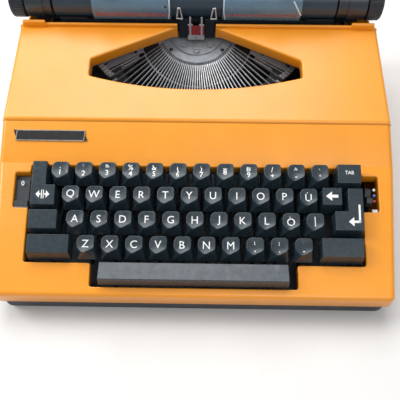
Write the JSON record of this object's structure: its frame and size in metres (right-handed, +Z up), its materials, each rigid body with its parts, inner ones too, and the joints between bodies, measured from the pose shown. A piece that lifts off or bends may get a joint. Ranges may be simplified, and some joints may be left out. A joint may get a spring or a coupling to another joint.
{
  "type": "portable electric typewriter",
  "caption": "Portable electric typewriter with sloped keyboard, fan-shaped type basket under a lifting cover, and a sliding carriage with platen and feed rollers.",
  "frame": {"origin": "on the table surface, under the middle of the machine", "axes": "+X to the typist's right, +Y to the back of the machine, +Z up"},
  "size_m": [0.3338, 0.2952, 0.1357],
  "materials": {
    "orange_casing": "satin moulded plastic",
    "tray_black": "fine grained",
    "foot_rubber": "matt",
    "badge_metal": "brushed, blank",
    "frame_steel": "grey enamel",
    "bright_steel": "ground",
    "guide_black": "black oxide",
    "clear_plastic": "clear",
    "motor_grey": "grey enamel",
    "belt_rubber": "matt",
    "inlet_plastic": "moulded",
    "segment_metal": "machined casting",
    "typebar_steel": "nickel plated",
    "plate_grey": "grey enamel",
    "rest_felt": "felt",
    "key_plastic": "moulded, slate",
    "platen_rubber": "ground rubber",
    "knob_black": "ribbed",
    "carriage_metal": "dark enamel",
    "ribbon_fabric": "inked",
    "spool_plastic": "moulded"
  },
  "bodies": {
    "machine": {"base_tray": "tray_black", "rubber_feet": "foot_rubber", "body_shell": "orange_casing", "badge_plate": "badge_metal", "frame_side_left": "frame_steel", "frame_side_right": "frame_steel", "frame_cross_bars": "frame_steel", "lever_fulcrum_rod": "bright_steel", "carriage_rails": "bright_steel", "type_guide": "guide_black", "card_holder_left": "clear_plastic", "card_holder_right": "clear_plastic", "card_wires": "bright_steel", "switch_housing": "inlet_plastic", "drive_motor": "motor_grey", "drive_belt": "belt_rubber", "mains_inlet": "inlet_plastic"},
    "cover": {"ribbon_cover": "orange_casing"},
    "basket": {"type_segment": "segment_metal", "typebars": "typebar_steel", "typebar_ring": "bright_steel", "basket_plate_left": "plate_grey", "basket_plate_right": "plate_grey", "type_rest": "rest_felt"},
    "typebar": {"typebar_h": "typebar_steel"},
    "lifter": {"ribbon_vibrator": "bright_steel", "ribbon": "ribbon_fabric"},
    "carriage": {"carriage_bed": "carriage_metal", "carriage_end_left": "knob_black", "carriage_end_right": "knob_black", "paper_table": "carriage_metal"},
    "platen_roller": {"platen": "platen_rubber", "platen_shaft": "bright_steel", "platen_knob_left": "knob_black", "platen_knob_right": "knob_black"},
    "front_roller": {"feed_roller_front": "belt_rubber"},
    "rear_roller": {"feed_roller_rear": "belt_rubber"},
    "bail": {"paper_bail": "bright_steel"},
    "bail_roller_pair": {"bail_rollers": "belt_rubber"},
    "release": {"paper_release_lever": "bright_steel"},
    "stop_left": {"margin_stop_left": "bright_steel"},
    "stop_right": {"margin_stop_right": "bright_steel"},
    "row_1": {"keys_row_1": "key_plastic"},
    "row_2": {"keys_row_2": "key_plastic"},
    "row_3": {"keys_row_3": "key_plastic"},
    "row_4": {"keys_row_4": "key_plastic"},
    "home_key": {"key_h": "key_plastic"},
    "margin_key": {"margin_release_key": "key_plastic"},
    "tabulator_key": {"tab_key": "key_plastic"},
    "back_key": {"backspace_key": "key_plastic"},
    "carriage_return_key": {"return_key": "key_plastic"},
    "lock_key": {"shift_lock_key": "key_plastic"},
    "shift_pair": {"shift_keys": "key_plastic"},
    "spacer": {"space_bar": "key_plastic"},
    "switch": {"power_switch": "key_plastic"},
    "selector": {"ribbon_selector": "key_plastic"},
    "spool_left": {"ribbon_spool_left": "spool_plastic"},
    "spool_right": {"ribbon_spool_right": "spool_plastic"},
    "roll": {"power_roll": "belt_rubber"},
    "motor_shaft": {"motor_pulley": "bright_steel"}
  },
  "joints": [
    {"name": "cover_lift", "type": "hinge", "parent": "machine", "child": "cover", "pos_m": [0, 0.0842, 0.101], "axis": [1, 0, 0], "range_deg": [-70, 0]},
    {"name": "carriage_travel", "type": "slide", "parent": "machine", "child": "carriage", "axis": [1, 0, 0], "range_m": [-0.118, 0.118]},
    {"name": "platen_turn", "type": "hinge", "parent": "carriage", "child": "platen_roller", "pos_m": [0, 0.1028, 0.1122], "axis": [1, 0, 0], "continuous": true},
    {"name": "front_roller_turn", "type": "hinge", "parent": "carriage", "child": "front_roller", "pos_m": [0, 0.09928, 0.09221], "axis": [1, 0, 0], "continuous": true},
    {"name": "rear_roller_turn", "type": "hinge", "parent": "carriage", "child": "rear_roller", "pos_m": [0, 0.11912, 0.09851], "axis": [1, 0, 0], "continuous": true},
    {"name": "bail_lift", "type": "hinge", "parent": "carriage", "child": "bail", "pos_m": [0, 0.115, 0.112], "axis": [1, 0, 0], "range_deg": [-60, 0]},
    {"name": "bail_roller_turn", "type": "hinge", "parent": "bail", "child": "bail_roller_pair", "pos_m": [0, 0.0921, 0.13073], "axis": [1, 0, 0], "continuous": true},
    {"name": "paper_release", "type": "hinge", "parent": "carriage", "child": "release", "pos_m": [0.1275, 0.1342, 0.0962], "axis": [1, 0, 0], "range_deg": [0, 20]},
    {"name": "margin_left_set", "type": "slide", "parent": "carriage", "child": "stop_left", "axis": [1, 0, 0], "range_m": [-0.06, 0.07]},
    {"name": "margin_right_set", "type": "slide", "parent": "carriage", "child": "stop_right", "axis": [1, 0, 0], "range_m": [-0.07, 0.038]},
    {"name": "row_1_press", "type": "hinge", "parent": "machine", "child": "row_1", "pos_m": [0, 0.04, 0.0125], "axis": [1, 0, 0], "range_deg": [0, 3], "stiffness_Nm_per_rad": 1, "springref_deg": -6.88},
    {"name": "row_2_press", "type": "hinge", "parent": "machine", "child": "row_2", "pos_m": [0, 0.04, 0.0125], "axis": [1, 0, 0], "range_deg": [0, 2.5], "stiffness_Nm_per_rad": 1, "springref_deg": -6.88},
    {"name": "row_3_press", "type": "hinge", "parent": "machine", "child": "row_3", "pos_m": [0, 0.04, 0.0125], "axis": [1, 0, 0], "range_deg": [0, 2.15], "stiffness_Nm_per_rad": 1, "springref_deg": -6.88},
    {"name": "row_4_press", "type": "hinge", "parent": "machine", "child": "row_4", "pos_m": [0, 0.04, 0.0125], "axis": [1, 0, 0], "range_deg": [0, 1.9], "stiffness_Nm_per_rad": 1, "springref_deg": -6.88},
    {"name": "margin_release_press", "type": "hinge", "parent": "machine", "child": "margin_key", "pos_m": [0, 0.04, 0.0125], "axis": [1, 0, 0], "range_deg": [0, 2.5], "stiffness_Nm_per_rad": 0.5, "springref_deg": -5.73},
    {"name": "tab_press", "type": "hinge", "parent": "machine", "child": "tabulator_key", "pos_m": [0, 0.04, 0.0125], "axis": [1, 0, 0], "range_deg": [0, 2.2], "stiffness_Nm_per_rad": 0.5, "springref_deg": -5.73},
    {"name": "backspace_press", "type": "hinge", "parent": "machine", "child": "back_key", "pos_m": [0, 0.04, 0.0125], "axis": [1, 0, 0], "range_deg": [0, 2.5], "stiffness_Nm_per_rad": 0.5, "springref_deg": -5.73},
    {"name": "return_press", "type": "hinge", "parent": "machine", "child": "carriage_return_key", "pos_m": [0, 0.04, 0.0125], "axis": [1, 0, 0], "range_deg": [0, 2.15], "stiffness_Nm_per_rad": 0.5, "springref_deg": -5.73},
    {"name": "shift_lock_press", "type": "hinge", "parent": "machine", "child": "lock_key", "pos_m": [0, 0.04, 0.0125], "axis": [1, 0, 0], "range_deg": [0, 2.15], "stiffness_Nm_per_rad": 0.5, "springref_deg": -5.73},
    {"name": "shift_press", "type": "hinge", "parent": "machine", "child": "shift_pair", "pos_m": [0, 0.04, 0.0125], "axis": [1, 0, 0], "range_deg": [0, 1.9], "stiffness_Nm_per_rad": 1, "springref_deg": -6.88},
    {"name": "space_press", "type": "hinge", "parent": "machine", "child": "spacer", "pos_m": [0, 0.04, 0.0125], "axis": [1, 0, 0], "range_deg": [0, 1.7], "stiffness_Nm_per_rad": 1, "springref_deg": -6.88},
    {"name": "typebar_swing", "type": "hinge", "parent": "basket", "child": "typebar", "pos_m": [-0.00044, 0.06176, 0.06348], "axis": [-0.9998, -0.0189, -0.0079], "range_deg": [0, 142], "stiffness_Nm_per_rad": 0.0006, "springref_deg": -57.3},
    {"name": "h_press", "type": "hinge", "parent": "machine", "child": "home_key", "pos_m": [0, 0.04, 0.0125], "axis": [1, 0, 0], "range_deg": [0, 2.15]},
    {"name": "ribbon_lift", "type": "slide", "parent": "machine", "child": "lifter", "axis": [0, 0, 1], "range_m": [0, 0.0185]},
    {"name": "basket_shift", "type": "slide", "parent": "machine", "child": "basket", "axis": [0, 0.3859, -0.9225], "range_m": [0, 0.006], "stiffness_N_per_m": 300, "springref_m": -0.025},
    {"name": "power_switch_slide", "type": "slide", "parent": "machine", "child": "switch", "axis": [0, 0.9538, 0.3006], "range_m": [0, 0.0044]},
    {"name": "ribbon_colour_select", "type": "hinge", "parent": "machine", "child": "selector", "pos_m": [0.1425, -0.0665, 0.03], "axis": [1, 0, 0], "range_deg": [-9, 9]},
    {"name": "left_spool_turn", "type": "hinge", "parent": "machine", "child": "spool_left", "pos_m": [-0.122, 0.042, 0.066], "axis": [0, 0, 1], "continuous": true},
    {"name": "right_spool_turn", "type": "hinge", "parent": "machine", "child": "spool_right", "pos_m": [0.122, 0.042, 0.066], "axis": [0, 0, 1], "continuous": true},
    {"name": "power_roll_turn", "type": "hinge", "parent": "machine", "child": "roll", "pos_m": [0, 0.06, 0.027], "axis": [1, 0, 0], "continuous": true},
    {"name": "motor_turn", "type": "hinge", "parent": "machine", "child": "motor_shaft", "pos_m": [-0.1315, 0.115, 0.034], "axis": [1, 0, 0], "continuous": true}
  ],
  "couplings": [
    {"joint": "front_roller_turn", "follows": "platen_turn", "ratio": -4},
    {"joint": "rear_roller_turn", "follows": "platen_turn", "ratio": -3.2},
    {"joint": "h_press", "follows": "typebar_swing", "ratio": 0.01507},
    {"joint": "ribbon_lift", "follows": "typebar_swing", "m_per_rad": 0.007222},
    {"joint": "basket_shift", "follows": "shift_press", "m_per_rad": 0.18033},
    {"joint": "right_spool_turn", "follows": "left_spool_turn", "ratio": 1},
    {"joint": "motor_turn", "follows": "power_roll_turn", "ratio": 2.2329}
  ]
}
